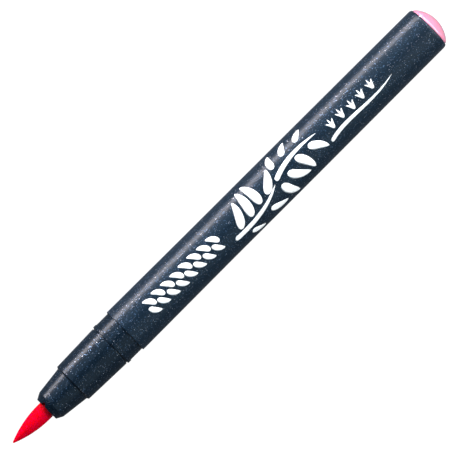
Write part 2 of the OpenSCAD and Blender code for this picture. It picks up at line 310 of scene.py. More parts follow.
def slot_cutter(angle):
    """A bar with a round end, as wide as the slot, that stands on the axis."""
    outline = [(nose_x - slot_clear, -slot_w / 2)]
    for k in range(slot_steps + 1):
        a = math.radians(-90 + 180 * k / slot_steps)
        outline.append((nose_x + slot_depth + slot_w / 2 * (math.cos(a) - 1),
                        slot_w / 2 * math.sin(a)))
    outline.append((nose_x - slot_clear, slot_w / 2))
    cutter = bmesh.new()
    face = cutter.faces.new([cutter.verts.new((x * MM, y * MM, 0)) for x, y in outline])
    top = bmesh.ops.extrude_face_region(cutter, geom=[face])
    for vert in [v for v in top["geom"] if isinstance(v, bmesh.types.BMVert)]:
        vert.co.z = seat_front_r * MM
    bmesh.ops.recalc_face_normals(cutter, faces=cutter.faces)
    mesh = bpy.data.meshes.new("slot_cutter")
    cutter.to_mesh(mesh)
    cutter.free()
    bar = bpy.data.objects.new("slot_cutter", mesh)
    bar.rotation_euler.x = -math.radians(angle)
    scene.collection.objects.link(bar)
    return bar


def cut(piece, cutters):
    """The piece's mesh with the cutters taken out of it."""
    for cutter in cutters:
        tool = piece.modifiers.new("cut", "BOOLEAN")
        tool.operation = "DIFFERENCE"
        tool.solver = "EXACT"
        tool.object = cutter
    bpy.context.view_layer.update()
    shaped = piece.evaluated_get(bpy.context.evaluated_depsgraph_get())
    mesh = bpy.data.meshes.new_from_object(shaped)
    piece.modifiers.clear()
    piece.data = mesh
    for cutter in cutters:
        bpy.data.objects.remove(cutter)


def outline_normals(piece, corners, closed=True):
    """Gives a cut piece the lathe's own normals again, and flat ones to the cut faces. A face
    is the lathe's if it lies on the outline and points the way that the outline does."""
    on_outline, same_way = 0.004 * MM, 1.7
    points, normals = rounded(corners, closed)
    pieces = stretches(points, normals, closed, math.inf)
    start = np.array([p[0][0] for p in pieces]) * MM
    along = np.array([p[0][1] for p in pieces]) * MM - start
    n0 = np.array([p[1][0] for p in pieces])
    n1 = np.array([p[1][1] for p in pieces])
    length = (along ** 2).sum(1)
    mesh = piece.data
    result = []
    for face in mesh.polygons:
        c = face.center
        flat = np.array([c.x, math.hypot(c.y, c.z)])
        t = np.clip(((flat - start) * along).sum(1) / length, 0, 1)
        off = np.linalg.norm(start + along * t[:, None] - flat, axis=1)
        best = int(off.argmin())
        outward = np.array([face.normal.x,
                            (face.normal.y * c.y + face.normal.z * c.z) / max(flat[1], TINY)])
        on_lathe = off[best] < on_outline and outward @ (n0[best] + n1[best]) > same_way
        for v in face.vertices:
            co = mesh.vertices[v].co
            r = math.hypot(co.y, co.z)
            if not on_lathe or r < TINY:
                result.append(tuple(face.normal))
                continue
            reach = (np.array([co.x, r]) - start[best]) @ along[best] / length[best]
            s = float(np.clip(reach, 0, 1))
            n = n0[best] * (1 - s) + n1[best] * s
            n = n / np.linalg.norm(n)
            result.append((n[0], n[1] * co.y / r, n[1] * co.z / r))
    mesh.polygons.foreach_set("use_smooth", [True] * len(mesh.polygons))
    mesh.normals_split_custom_set(result)


cut(section, [slot_cutter(slot_angle), slot_cutter(slot_angle + 180)])
outline_normals(section, section_corners)
print("Front section after cutting:", len(section.data.polygons), "faces")

# %% [markdown]
# ## The nib
# The brush nib is a soft porous tip, ground to a long point. Its side is one arc of a large
# circle that runs smoothly into the belly in front of the nose, and the very point is a small
# ball, because a needle tip would tear paper. The radius along it therefore follows a formula.
# A Bezier curve would do too, but the circle is how such a tip is really ground.

# %% Turn the nib
nib_r, point_r, belly_x = 2.125, 0.2, 10.0
shank_drop, shank_step, shank_start, flange_l, core_hole_l = 0.07, 0.3, 0.5, 1.2, 7
shank_r = nib_r - shank_drop
ogive_run = belly_x - point_r
ogive_r = (ogive_run ** 2 + nib_r ** 2 - point_r ** 2) / (2 * (nib_r - point_r))
tangent_x = point_r - point_r * ogive_run / (ogive_r - point_r)
flange_end_x = flange_x + flange_l
stub_r, core_hole_r = 1.73, 1.03


def nib_radius(x):
    """The nib's radius: a small ball at the point, then the large arc up to the belly."""
    if x < tangent_x:
        return math.sqrt(max(point_r ** 2 - (point_r - x) ** 2, 0))
    return nib_r - ogive_r + math.sqrt(ogive_r ** 2 - (belly_x - min(x, belly_x)) ** 2)


ball = [(point_r * (1 - math.cos(a)), nib_radius(point_r * (1 - math.cos(a))), 0)
        for a in np.linspace(0, math.acos(1 - tangent_x / point_r), 7)[:-1]]
nib = turned("brush_nib_ground", ball + arc(tangent_x, belly_x, nib_radius, 40) + [
    (nose_x + shank_step, nib_r, 0.2), (nose_x + shank_start, shank_r, 0.2),
    (flange_x, shank_r, 0), (flange_x, flange_r, 0.1), (flange_end_x, flange_r, 0.1),
    (flange_end_x, stub_r, 0), (stub_end_x, stub_r, 0.1), (stub_end_x, core_hole_r, 0),
    (stub_end_x - core_hole_l, core_hole_r, 0), (stub_end_x - core_hole_l, 0, 0)],
    closed=False, segments=160, longest=0.5)

# %% [markdown]
# ## The tail plug
# A glossy plug in the ink's colour closes the barrel. Its dome is a shallow slice of a sphere
# on a short plain rim, with a small rounding between the two. Behind it a hollow spigot with
# four prongs reaches in to the ink reservoir. It is hidden in the barrel, but it is made as
# well, so that the piece is whole when it is taken apart. The gaps between the prongs are cut
# as the air slots were, with two bars that cross on the axis.

# %% Turn the plug
dome_rim, dome_round = 0.5, 0.7
dome_h = dome_x - tail_x
dome_arc_h = dome_h - dome_rim
dome_r = (plug_r ** 2 + dome_arc_h ** 2) / (2 * dome_arc_h)
dome_centre_x = dome_x - dome_r
round_x = dome_centre_x + math.sqrt((dome_r - dome_round) ** 2 - (plug_r - dome_round) ** 2)
round_turn = math.acos((plug_r - dome_round) / (dome_r - dome_round))
plug_spigot_r, plug_wall = bore_r - fit_gap, 0.8
plug_rim = [(round_x + dome_round * math.sin(a), plug_r - dome_round + dome_round * math.cos(a), 0)
            for a in np.linspace(0, round_turn, 8)]
dome = [(dome_centre_x + dome_r * math.cos(a), dome_r * math.sin(a), 0)
        for a in np.linspace(math.asin(plug_rim[-1][1] / dome_r), 0, 40)[1:]]
prong_x, prong_l, prong_gap = ends("tail_plug")[0], 2, 2.2
plug_corners = [
    (plug_seat_x, 0, 0), (plug_seat_x, plug_spigot_r - plug_wall, 0),
    (prong_x, plug_spigot_r - plug_wall, 0.1), (prong_x, plug_spigot_r, 0.1),
    (plug_seat_x, plug_spigot_r, 0), (plug_seat_x, plug_r, 0)] + plug_rim + dome
plug = turned("tail_plug_turned", plug_corners, closed=False, longest=0.6)
print("Dome radius", round(dome_r, 2), "mm")

# %% Cut the gaps between the prongs
def gap_cutter(angle):
    """A bar across the spigot's open end, as wide as the gap between two prongs."""
    cutter = bmesh.new()
    bmesh.ops.create_cube(cutter, size=MM)
    bmesh.ops.scale(cutter, vec=(2 * prong_l, prong_gap, 4 * plug_r), verts=cutter.verts)
    bmesh.ops.translate(cutter, vec=(prong_x * MM, 0, 0), verts=cutter.verts)
    turn = Matrix.Rotation(math.radians(angle), 3, "X")
    bmesh.ops.rotate(cutter, matrix=turn, verts=cutter.verts)
    mesh = bpy.data.meshes.new("gap_cutter")
    cutter.to_mesh(mesh)
    cutter.free()
    bar = bpy.data.objects.new("gap_cutter", mesh)
    scene.collection.objects.link(bar)
    return bar


cut(plug, [gap_cutter(0), gap_cutter(90)])
outline_normals(plug, plug_corners, closed=False)
print("Tail plug after cutting:", len(plug.data.polygons), "faces")

# %% [markdown]
# ## The cap and the inner cap
# The cap is a closed tube with a small air hole in its end, which lets air past if it is ever
# swallowed. It slides along the axis, so it rides on its own body. A pale inner cap sits deep
# inside it, and its cone seals the nose so that the ink doesn't dry out. The cap is turned
# where it lies, in front of the nib, on the front section's own sizes plus a small gap. The
# inner cap shows only through the mouth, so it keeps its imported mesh.

# %% Turn the cap
cap_gap, cap_wall, cap_round, cap_draft = 0.1, 1.2, 1.2, 0.2
cap_bore_r = ridge_r + cap_gap
cap_seat_r = seat_front_r + cap_gap
cap_floor_x = cap_end_x + cap_wall
cap_end_r = cap_mouth_r - cap_draft
cap_lead_x = ridge_x - groove_w - cap_travel
cap_seat_x = seat_x - cap_travel
air_hole_r = 0.8
cap = turned("cap_turned", [
    (cap_end_x, air_hole_r, 0.1), (cap_end_x, cap_end_r, cap_round),
    (cap_mouth_x, cap_mouth_r, 0.2), (cap_mouth_x, cap_bore_r, 0.1),
    (cap_lead_x, cap_bore_r, 0.05), (cap_lead_x, seat_rear_r + cap_gap, 0.05),
    (cap_seat_x, cap_seat_r, 0),
    (cap_floor_x, cap_seat_r, 0.1), (cap_floor_x, air_hole_r, 0)])

# %% [markdown]
# ## The white print
# The printed side carries a generic ornament: a row of leaf dabs, a brushed sprig, small tufts
# and one long tapering stroke. Screen print is a film of ink a few hundredths of a millimetre
# thick. An image texture could show it, but a film of real thickness catches the light at its
# rim and stays sharp at any distance. Each dab follows a bent spine, its width comes from a
# formula, and its points are wrapped round the barrel, slightly sunk in so that nothing floats.

# %% The brush stroke
ink_height, ink_root = 0.03, -0.02
edge_steepness, end_fullness = 8, 0.7


def on_barrel(x, across, height):
    """A point on the barrel: across is the way round from the printed side, towards +Y."""
    r = barrel_radius(x)
    angle = across / r
    return (x * MM, (r + height) * math.sin(angle) * MM, (r + height) * math.cos(angle) * MM)


def swell(t, blunt, tail):
    """A stroke's width along its way, from 0 to 1: a round start, a full body and a thin end."""
    start = math.sqrt(max(0.0, 1 - (1 - min(t / blunt, 1)) ** 2))
    end = 1 - max(0.0, (t - 1 + tail) / tail) ** 2
    return start * max(end, 0.0) ** end_fullness


def along_spine(spine, t):
    """The place and the direction on a Bezier curve with any number of control points."""
    points = [np.array(p, float) for p in spine]
    while len(points) > 2:
        points = [a * (1 - t) + b * t for a, b in zip(points, points[1:])]
    way = points[1] - points[0]
    return points[0] + way * t, way / np.linalg.norm(way)


def stroke(mesh, spine, wide, blunt, tail, rows=28, columns=6):
    """Adds one closed dab of ink. The spine's points are (along, across) in millimetres."""
    top, bottom = [], []
    for i in range(rows + 1):
        t = i / rows
        here, way = along_spine(spine, t)
        aside = np.array([-way[1], way[0]])
        half = wide / 2 * swell(t, blunt, tail)
        if i in (0, rows):
            x, v = here
            tip = mesh.verts.new(on_barrel(x, v, 0))
            top.append([tip])
            bottom.append([tip])
            continue
        upper, lower = [], []
        for k in range(columns + 1):
            s = 2 * k / columns - 1
            x, v = here + aside * half * s
            rise = ink_height * (1 - abs(s) ** edge_steepness)
            upper.append(mesh.verts.new(on_barrel(x, v, rise)))
            rim = k in (0, columns)
            lower.append(upper[-1] if rim else mesh.verts.new(on_barrel(x, v, ink_root)))
        top.append(upper)
        bottom.append(lower)
    for rings, flip in ((top, False), (bottom, True)):
        for i in range(rows):
            one, two = rings[i], rings[i + 1]
            for k in range(columns):
                quad = [one[min(k, len(one) - 1)], two[min(k, len(two) - 1)],
                        two[min(k + 1, len(two) - 1)], one[min(k + 1, len(one) - 1)]]
                quad = list(dict.fromkeys(quad))
                if len(quad) > 2:
                    mesh.faces.new(quad[::-1] if flip else quad)


def printed(name, strokes):
    """A print made of strokes, each given as the stroke function's values."""
    mesh = bmesh.new()
    for values in strokes:
        stroke(mesh, **values)
    bmesh.ops.recalc_face_normals(mesh, faces=mesh.faces)
    data = bpy.data.meshes.new(name)
    mesh.to_mesh(data)
    mesh.free()
    data.polygons.foreach_set("use_smooth", [True] * len(data.polygons))
    piece = bpy.data.objects.new(name, data)
    scene.collection.objects.link(piece)
    print(name, "has", len(strokes), "strokes and", len(data.polygons), "faces")
    return piece


# %% The leaf row beside the grip
leaf_pitch, leaf_count = 2.9, 8
row_start = barrel_x + 7.2
leaf_row = []
for i in range(leaf_count):
    x = row_start + i * leaf_pitch
    lift = 0.15 * math.sin(1.7 * i)
    left = [(x + 2.2, -0.7 + lift), (x + 1.9, 0.9 + lift), (x - 0.1, 1.8 + lift)]
    right = [(x + 0.2, -0.2 + lift), (x + 0.7, -1.7 + lift), (x + 2.4, -2.6 + lift)]
    leaf_row.append(dict(spine=left, wide=1.45, blunt=0.35, tail=0.6))
    leaf_row.append(dict(spine=right, wide=1.4, blunt=0.35, tail=0.6))
leaf_print = printed("leaf_row_print", leaf_row)

# %% The brushed sprig
sprig_x = barrel_x + 32.5
stem_across, leaf_bow = -0.5, 0.16
sprig = [
    dict(spine=[(sprig_x, -3.4), (sprig_x + 9, -4.2), (sprig_x + 15.5, -0.6)], wide=1.25,
         blunt=0.06, tail=0.9, rows=48),
    dict(spine=[(sprig_x + 16.2, -0.2), (sprig_x + 22, 2.6), (sprig_x + 30.5, 1.2)], wide=1.15,
         blunt=0.06, tail=0.9, rows=48)]
# Each leaf's place along and across, its length, its angle in degrees and its width.
leaves = [(2.7, -2.5, 6.8, 66, 2.1), (6.6, -2.2, 7.3, 84, 2.3), (4.4, -5.0, 4.0, -26, 1.6),
          (10.1, -1.5, 6.9, 98, 2.3), (12.5, -0.9, 6.0, 50, 2.1), (11.0, -4.2, 5.0, -20, 1.9),
          (16.6, -1.7, 5.6, -62, 2.3), (19.4, -0.7, 5.9, -40, 2.2), (17.8, 2.3, 4.2, 76, 1.9),
          (21.3, 3.0, 3.8, 52, 1.8), (23.0, 0.6, 5.8, -66, 2.2), (26.9, 0.2, 5.2, -40, 2.0),
          (25.6, 3.2, 3.5, 36, 1.7)]
for along, across, length, angle, wide in leaves:
    lean = math.radians(angle)
    bow = leaf_bow * length * math.copysign(1, across - stem_across)
    start = (sprig_x + along, across)
    middle = (start[0] + length / 2 * math.cos(lean) - bow * math.sin(lean),
              start[1] + length / 2 * math.sin(lean) + bow * math.cos(lean))
    end = (start[0] + length * math.cos(lean), start[1] + length * math.sin(lean))
    sprig.append(dict(spine=[start, middle, end], wide=wide, blunt=0.3, tail=0.7))
sprig_print = printed("brushed_sprig_print", sprig)

# %% The tufts and the long stroke
tuft_x, tuft_pitch, tuft_count = barrel_x + 67, 3.2, 5
tufts = []
for i in range(tuft_count):
    x, v = tuft_x + tuft_pitch * i, 0.25 + 0.2 * math.sin(2.2 * i)
    for spread, length in ((-0.8, 2.0), (0.0, 2.7), (0.8, 2.1)):
        spine = [(x, v - 1.3), (x + spread * 0.35, v - 0.2), (x + spread * 1.35, v - 1.3 + length)]
        tufts.append(dict(spine=spine, wide=0.62, blunt=0.3, tail=0.8, rows=16, columns=4))
tuft_print = printed("tuft_print", tufts)
long_print = printed("long_stroke_print", [
    dict(spine=[(barrel_x + 64.3, -3.0), (barrel_x + 70, -0.9), (barrel_x + 78, -3.6),
                (barrel_x + 85.1, -1.5)], wide=1.0, blunt=0.04, tail=0.97, rows=90)])

# %% [markdown]
# ## Effects that several finishes share
# A node group is to materials what a function is to code. Three effects are used again and
# again on this pen. Metal flakes lie in the navy plastic, each a tiny mirror with a tilt of its
# own. Fine moulding grain roughens every moulded face. Handling wear dulls and scratches them
# a little. Each group works from the piece's own coordinates, so it stays put when the piece
# moves, and it gives out only masks, colours and normals that change over the surface.

# %% Helpers for node groups
def new_group(name, inputs, outputs):
    """An empty node group with named inputs, given as (name, kind, value), and outputs."""
    group = bpy.data.node_groups.new(name, "ShaderNodeTree")
    for label, kind, value in inputs:
        socket = group.interface.new_socket(label, in_out="INPUT", socket_type="NodeSocket" + kind)
        socket.default_value = value
    for label, kind in outputs:
        group.interface.new_socket(label, in_out="OUTPUT", socket_type="NodeSocket" + kind)
    given, result = group.nodes.new("NodeGroupInput"), group.nodes.new("NodeGroupOutput")
    return group, given.outputs, result.inputs


def add(tree, kind, links=None, **settings):
    """A node with some settings, and with values or links put into its inputs."""
    node = tree.nodes.new("ShaderNode" + kind)
    for key, value in settings.items():
        setattr(node, key, value)
    for key, value in (links or {}).items():
        if isinstance(value, bpy.types.NodeSocket):
            tree.links.new(value, node.inputs[key])
        else:
            node.inputs[key].default_value = value
    return node


def sums(tree, operation, *values):
    """One step of arithmetic."""
    return add(tree, "Math", dict(enumerate(values)), operation=operation).outputs[0]


def ranged(tree, value, to_low, to_high, low=0.0, high=1.0, **settings):
    """A value carried over from the range low to high to the range to_low to to_high."""
    return add(tree, "MapRange", {"Value": value, "From Min": low, "From Max": high,
                                  "To Min": to_low, "To Max": to_high}, **settings).outputs[0]


def blend(tree, factor, one, two):
    """One colour mixed with another. A Mix node has its colours in sockets 6 and 7."""
    node = add(tree, "Mix", data_type="RGBA")
    for index, value in ((0, factor), (6, one), (7, two)):
        if isinstance(value, bpy.types.NodeSocket):
            tree.links.new(value, node.inputs[index])
        else:
            node.inputs[index].default_value = value
    return node.outputs[2]


# %% Metal flakes
def flake_group():
    """Small flakes, one to a cell, each with its own tint and tilt."""
    group, given, result = new_group("metal flakes", [
        ("Flakes per mm", "Float", 5.0), ("Share", "Float", 0.4), ("Tilt", "Float", 0.3),
        ("Seed", "Float", 0.0)], [("Mask", "Float"), ("Tint", "Color"), ("Normal", "Vector")])
    place = add(group, "TexCoord").outputs["Object"]
    moved = add(group, "VectorMath", {0: place, 1: given["Seed"]}, operation="ADD").outputs[0]
    scale = sums(group, "MULTIPLY", given["Flakes per mm"], 1 / MM)
    cells = add(group, "TexVoronoi", {"Vector": moved, "Scale": scale, "Randomness": 1.0})
    chance = add(group, "SeparateColor", {"Color": cells.outputs["Color"]})
    here = sums(group, "LESS_THAN", chance.outputs[0], given["Share"])
    smallest, largest = 0.18, 0.42
    size = ranged(group, chance.outputs[1], smallest, largest)
    disc = sums(group, "LESS_THAN", cells.outputs["Distance"], size)
    mask = sums(group, "MULTIPLY", here, disc)
    tint = add(group, "ValToRGB", {"Fac": chance.outputs[2]})
    colours = [(0.0, (0.05, 0.10, 0.18, 1)), (0.6, (0.12, 0.19, 0.30, 1)),
               (0.88, (0.26, 0.26, 0.32, 1)), (1.0, (0.62, 0.64, 0.68, 1))]
    while len(tint.color_ramp.elements) < len(colours):
        tint.color_ramp.elements.new(0.5)
    for element, (spot, colour) in zip(tint.color_ramp.elements, colours):
        element.position = spot
        element.color = colour
    lean = add(group, "VectorMath", {0: cells.outputs["Color"], 1: (0.5, 0.5, 0.5)},
               operation="SUBTRACT")
    strength = sums(group, "MULTIPLY", mask, given["Tilt"])
    lean = add(group, "VectorMath", {0: lean.outputs[0], "Scale": strength}, operation="SCALE")
    facing = add(group, "NewGeometry").outputs["Normal"]
    tilted = add(group, "VectorMath", {0: facing, 1: lean.outputs[0]}, operation="ADD")
    tilted = add(group, "VectorMath", {0: tilted.outputs[0]}, operation="NORMALIZE")
    group.links.new(mask, result["Mask"])
    group.links.new(tint.outputs["Color"], result["Tint"])
    group.links.new(tilted.outputs[0], result["Normal"])
    return group


# %% Moulding grain
def grain_group():
    """The fine uneven grain of a moulded or ground face, and slow patches in its gloss."""
    group, given, result = new_group("moulding grain", [
        ("Grain per mm", "Float", 6.0), ("Along", "Float", 1.0), ("Patches", "Float", 1.0)],
        [("Height", "Float"), ("Gloss patches", "Float")])
    place = add(group, "TexCoord").outputs["Object"]
    squeeze = add(group, "CombineXYZ", {"X": given["Along"], "Y": 1.0, "Z": 1.0}).outputs[0]
    place = add(group, "VectorMath", {0: place, 1: squeeze}, operation="MULTIPLY").outputs[0]
    scale = sums(group, "MULTIPLY", given["Grain per mm"], 1 / MM)
    patch_scale = 220.0
    grain = add(group, "TexNoise", {"Vector": place, "Scale": scale, "Detail": 2.0}).outputs[0]
    slow = add(group, "TexNoise", {"Vector": place, "Scale": patch_scale, "Detail": 3.0}).outputs[0]
    slow = sums(group, "SUBTRACT", slow, 0.5)
    slow = sums(group, "MULTIPLY", slow, given["Patches"])
    group.links.new(grain, result["Height"])
    group.links.new(slow, result["Gloss patches"])
    return group


# %% Handling wear
def wear_group():
    """Hair-fine scuffs that run roughly round the piece, where it rubs in a drawer or a hand."""
    group, given, result = new_group("handling wear", [
        ("Scuffs per mm", "Float", 0.9), ("Amount", "Float", 0.3)], [("Mask", "Float")])
    place = add(group, "TexCoord").outputs["Object"]
    skewed = add(group, "Mapping", {"Vector": place, "Rotation": (0.2, 0.5, 0.35),
                                    "Scale": (9.0, 1.0, 1.0)}).outputs[0]
    scale = sums(group, "MULTIPLY", given["Scuffs per mm"], 1 / MM)
    lines = add(group, "TexNoise", {"Vector": skewed, "Scale": scale, "Detail": 4.0,
                                    "Roughness": 0.7}).outputs[0]
    faint, full = 0.66, 0.74
    thin = ranged(group, lines, 0.0, 1.0, faint, full)
    group.links.new(sums(group, "MULTIPLY", thin, given["Amount"]), result["Mask"])
    return group


FLAKES, GRAIN, WEAR = flake_group(), grain_group(), wear_group()
print("Node groups:", [group.name for group in (FLAKES, GRAIN, WEAR)])

# %% [markdown]
# ## Finishes
# Each material starts from one Principled shader. What is the same all over, such as the index
# of refraction or the coat, is set on the shader itself. What changes over the surface comes
# from the shared groups, placed here with values that suit the piece.

# %% Helpers for materials
def new_material(name, **constants):
    """A material with one Principled shader whose named sockets are set."""
    material = bpy.data.materials.new(name)
    material.use_nodes = True
    tree = material.node_tree
    shader = tree.nodes["Principled BSDF"]
    for key, value in constants.items():
        shader.inputs[key.replace("_", " ")].default_value = value
    return material, tree, shader


def place_group(tree, group, **values):
    """One of the shared groups, with its values."""
    node = tree.nodes.new("ShaderNodeGroup")
    node.node_tree = group
    for key, value in values.items():
        node.inputs[key.replace("_", " ")].default_value = value
    return node.outputs


def roughness(tree, shader, base, patches, scuffs=None):
    """The shader's roughness: a base value, slow patches, and duller scuffs."""
    value = sums(tree, "ADD", patches, base)
    if scuffs is not None:
        value = sums(tree, "ADD", value, scuffs)
    tree.links.new(value, shader.inputs["Roughness"])


def bump(tree, shader, height, depth, normal=None):
    """Fine relief on the shader's normal. depth is in millimetres."""
    node = add(tree, "Bump", {"Height": height, "Strength": 1.0, "Distance": depth * MM})
    if normal is not None:
        tree.links.new(normal, node.inputs["Normal"])
    tree.links.new(node.outputs[0], shader.inputs["Normal"])


# %% [markdown]
# ### The navy plastic
# Metal flakes are stirred into this plastic before it is moulded, so they lie at every angle
# under one smooth skin. Noise with a threshold would give specks, but all alike. A Voronoi
# texture has random numbers for each cell, so each flake gets a size, a tint and a tilt. Large
# flakes lie over a fine dust. The front section is glossier than the rest, and its blue is
# darkened as painted shade, for the dark gap between the lights' reflections along it.

# %% Navy plastic with metal flakes
def navy_flake_plastic(name, gloss, seed, depth=1.0, share=0.34, mirror=0.26):
    """Deep blue moulded plastic full of fine flakes. gloss is its roughness, depth scales its
    blue (below 1 as painted shade), share is the part of the cells with a large flake, and
    mirror the specular level."""
    fine_tint, flake_metal, fine_metal = 0.5, 0.7, 0.4
    material, tree, shader = new_material(name, IOR=1.5, Specular_IOR_Level=mirror)
    flakes = place_group(tree, FLAKES, Flakes_per_mm=4.8, Share=share, Tilt=0.33, Seed=seed)
    fine = place_group(tree, FLAKES, Flakes_per_mm=7.5, Share=0.5, Tilt=0.5, Seed=seed + 0.5)
    grain = place_group(tree, GRAIN, Grain_per_mm=7.0, Patches=0.10)
    scuffs = place_group(tree, WEAR, Scuffs_per_mm=0.9, Amount=0.03)
    blues = (0.0023, 0.0096, 0.0196), (0.0036, 0.0128, 0.0246)
    dark, light = [(*(part * depth for part in blue), 1) for blue in blues]
    navy = blend(tree, grain["Height"], dark, light)
    dust = sums(tree, "MULTIPLY", fine["Mask"], fine_tint)
    navy = blend(tree, dust, navy, (0.035, 0.065, 0.105, 1))
    colour = blend(tree, flakes["Mask"], navy, flakes["Tint"])
    tree.links.new(colour, shader.inputs["Base Color"])
    large_shine = sums(tree, "MULTIPLY", flakes["Mask"], flake_metal)
    fine_shine = sums(tree, "MULTIPLY", fine["Mask"], fine_metal)
    shine = sums(tree, "MAXIMUM", large_shine, fine_shine)
    tree.links.new(shine, shader.inputs["Metallic"])
    roughness(tree, shader, gloss, grain["Gloss patches"], scuffs["Mask"])
    bump(tree, shader, grain["Height"], 0.006, flakes["Normal"])
    return material


# %% [markdown]
# ### The other finishes
# The plug is bright plastic under a high gloss. A coat gives it the sharp reflection, and light
# that spreads under the surface keeps its pink from looking painted. The nib is the opposite:
# a porous tip full of ink, with hardly any gloss, and lit from inside so that its shaded side
# stays red. Fibre has its grain along the pen, and the wrapped film has long creases.

# %% The plug and the nib
def plug_plastic():
    """Glossy pink plastic, a little translucent, so light spreads under its surface."""
    material, tree, shader = new_material("plug_pink_gloss", IOR=1.5, Subsurface_Weight=0.2,
                                          Subsurface_Scale=0.0008, Coat_Weight=1.0, Coat_IOR=1.8,
                                          Coat_Roughness=0.04)
    grain = place_group(tree, GRAIN, Grain_per_mm=3.0, Patches=0.12)
    scuffs = place_group(tree, WEAR, Scuffs_per_mm=0.6, Amount=0.15)
    colour = blend(tree, grain["Height"], (0.84, 0.24, 0.37, 1), (0.90, 0.30, 0.44, 1))
    colour = blend(tree, scuffs["Mask"], colour, (0.85, 0.42, 0.55, 1))
    tree.links.new(colour, shader.inputs["Base Color"])
    roughness(tree, shader, 0.22, grain["Gloss patches"], scuffs["Mask"])
    bump(tree, shader, grain["Height"], 0.004)
    return material


def nib_tip():
    """A porous tip soaked with ink: matt and saturated, with painted shade darkening it near the
    nose.
    """
    material, tree, shader = new_material("nib_soaked_red", IOR=1.4, Specular_IOR_Level=0.02,
                                          Subsurface_Weight=0.9, Subsurface_Scale=0.003)
    pores = place_group(tree, GRAIN, Grain_per_mm=11.0, Patches=0.2)
    strands = place_group(tree, GRAIN, Grain_per_mm=6.0, Along=0.06, Patches=0.2)
    red = blend(tree, strands["Height"], (0.62, 0.0, 0.008, 1), (0.68, 0.0, 0.024, 1))
    # Painted shade: the nib is darkened to a brownish red close to the nose, where the nose shades
    # it.
    nose_shade_start, nose_shade_end, nose_shade_strength = nose_x - 1.6, nose_x + 0.1, 0.4
    along = add(tree, "SeparateXYZ", {0: add(tree, "TexCoord").outputs["Object"]}).outputs[0]
    near_nose = ranged(tree, along, 0.0, 1.0, nose_shade_start * MM, nose_shade_end * MM,
                       interpolation_type="SMOOTHSTEP")
    painted_nose_shade = sums(tree, "MULTIPLY", near_nose, nose_shade_strength)
    red = blend(tree, painted_nose_shade, red, (0.22, 0.012, 0.006, 1))
    tree.links.new(red, shader.inputs["Base Color"])
    roughness(tree, shader, 0.62, pores["Gloss patches"])
    both = sums(tree, "ADD", pores["Height"], strands["Height"])
    bump(tree, shader, both, 0.003)
    return material


# %% Ink, milky plastic, fibre and film
def screen_ink():
    """White screen-print ink: opaque and satin, with a faint unevenness of the film."""
    material, tree, shader = new_material("screen_ink_white", IOR=1.45, Specular_IOR_Level=0.4)
    film = place_group(tree, GRAIN, Grain_per_mm=5.0, Patches=0.2)
    scuffs = place_group(tree, WEAR, Scuffs_per_mm=1.1, Amount=0.25)
    colour = blend(tree, film["Height"], (0.94, 0.94, 0.93, 1), (1.0, 1.0, 0.99, 1))
    colour = blend(tree, scuffs["Mask"], colour, (0.62, 0.65, 0.70, 1))
    tree.links.new(colour, shader.inputs["Base Color"])
    roughness(tree, shader, 0.45, film["Gloss patches"])
    bump(tree, shader, film["Height"], 0.004)
    return material


def natural_plastic():
    """Unpigmented plastic, milky and soft in gloss."""
    material, tree, shader = new_material("natural_milky_plastic", IOR=1.49, Subsurface_Weight=0.4,
                                          Subsurface_Scale=0.001)
    grain = place_group(tree, GRAIN, Grain_per_mm=4.0, Patches=0.15)
    scuffs = place_group(tree, WEAR, Scuffs_per_mm=0.8, Amount=0.2)
    colour = blend(tree, grain["Height"], (0.70, 0.72, 0.71, 1), (0.82, 0.83, 0.81, 1))
    tree.links.new(colour, shader.inputs["Base Color"])
    roughness(tree, shader, 0.42, grain["Gloss patches"], scuffs["Mask"])
    bump(tree, shader, grain["Height"], 0.005)
    return material


def inked_fibre():
    """A bundle of fibres along the pen, soaked unevenly with ink."""
    material, tree, shader = new_material("inked_fibre_bundle", IOR=1.4, Sheen_Weight=0.2)
    strands = place_group(tree, GRAIN, Grain_per_mm=9.0, Along=0.03, Patches=0.3)
    soaked = place_group(tree, GRAIN, Grain_per_mm=0.4, Patches=0.3)
    colour = blend(tree, soaked["Height"], (0.50, 0.01, 0.02, 1), (0.86, 0.14, 0.17, 1))
    colour = blend(tree, strands["Height"], colour, (0.80, 0.22, 0.24, 1))
    tree.links.new(colour, shader.inputs["Base Color"])
    roughness(tree, shader, 0.8, strands["Gloss patches"])
    bump(tree, shader, strands["Height"], 0.03)
    return material


def clear_film():
    """The thin film wrapped round the reservoir, with long soft creases."""
    material, tree, shader = new_material("clear_wrap_film", IOR=1.5)
    creases = place_group(tree, GRAIN, Grain_per_mm=0.7, Along=0.1, Patches=0.2)
    colour = blend(tree, creases["Height"], (0.84, 0.86, 0.88, 1), (0.95, 0.96, 0.97, 1))
    tree.links.new(colour, shader.inputs["Base Color"])
    clearest, cloudiest = 0.25, 0.5
    opaque = ranged(tree, creases["Height"], clearest, cloudiest)
    tree.links.new(opaque, shader.inputs["Alpha"])
    roughness(tree, shader, 0.15, creases["Gloss patches"])
    bump(tree, shader, creases["Height"], 0.05)
    return material


# %% Give every piece its finish and body, and hide the packed piece that it replaces
barrel_navy = navy_flake_plastic("navy_flake_barrel", 0.33, 0.0)
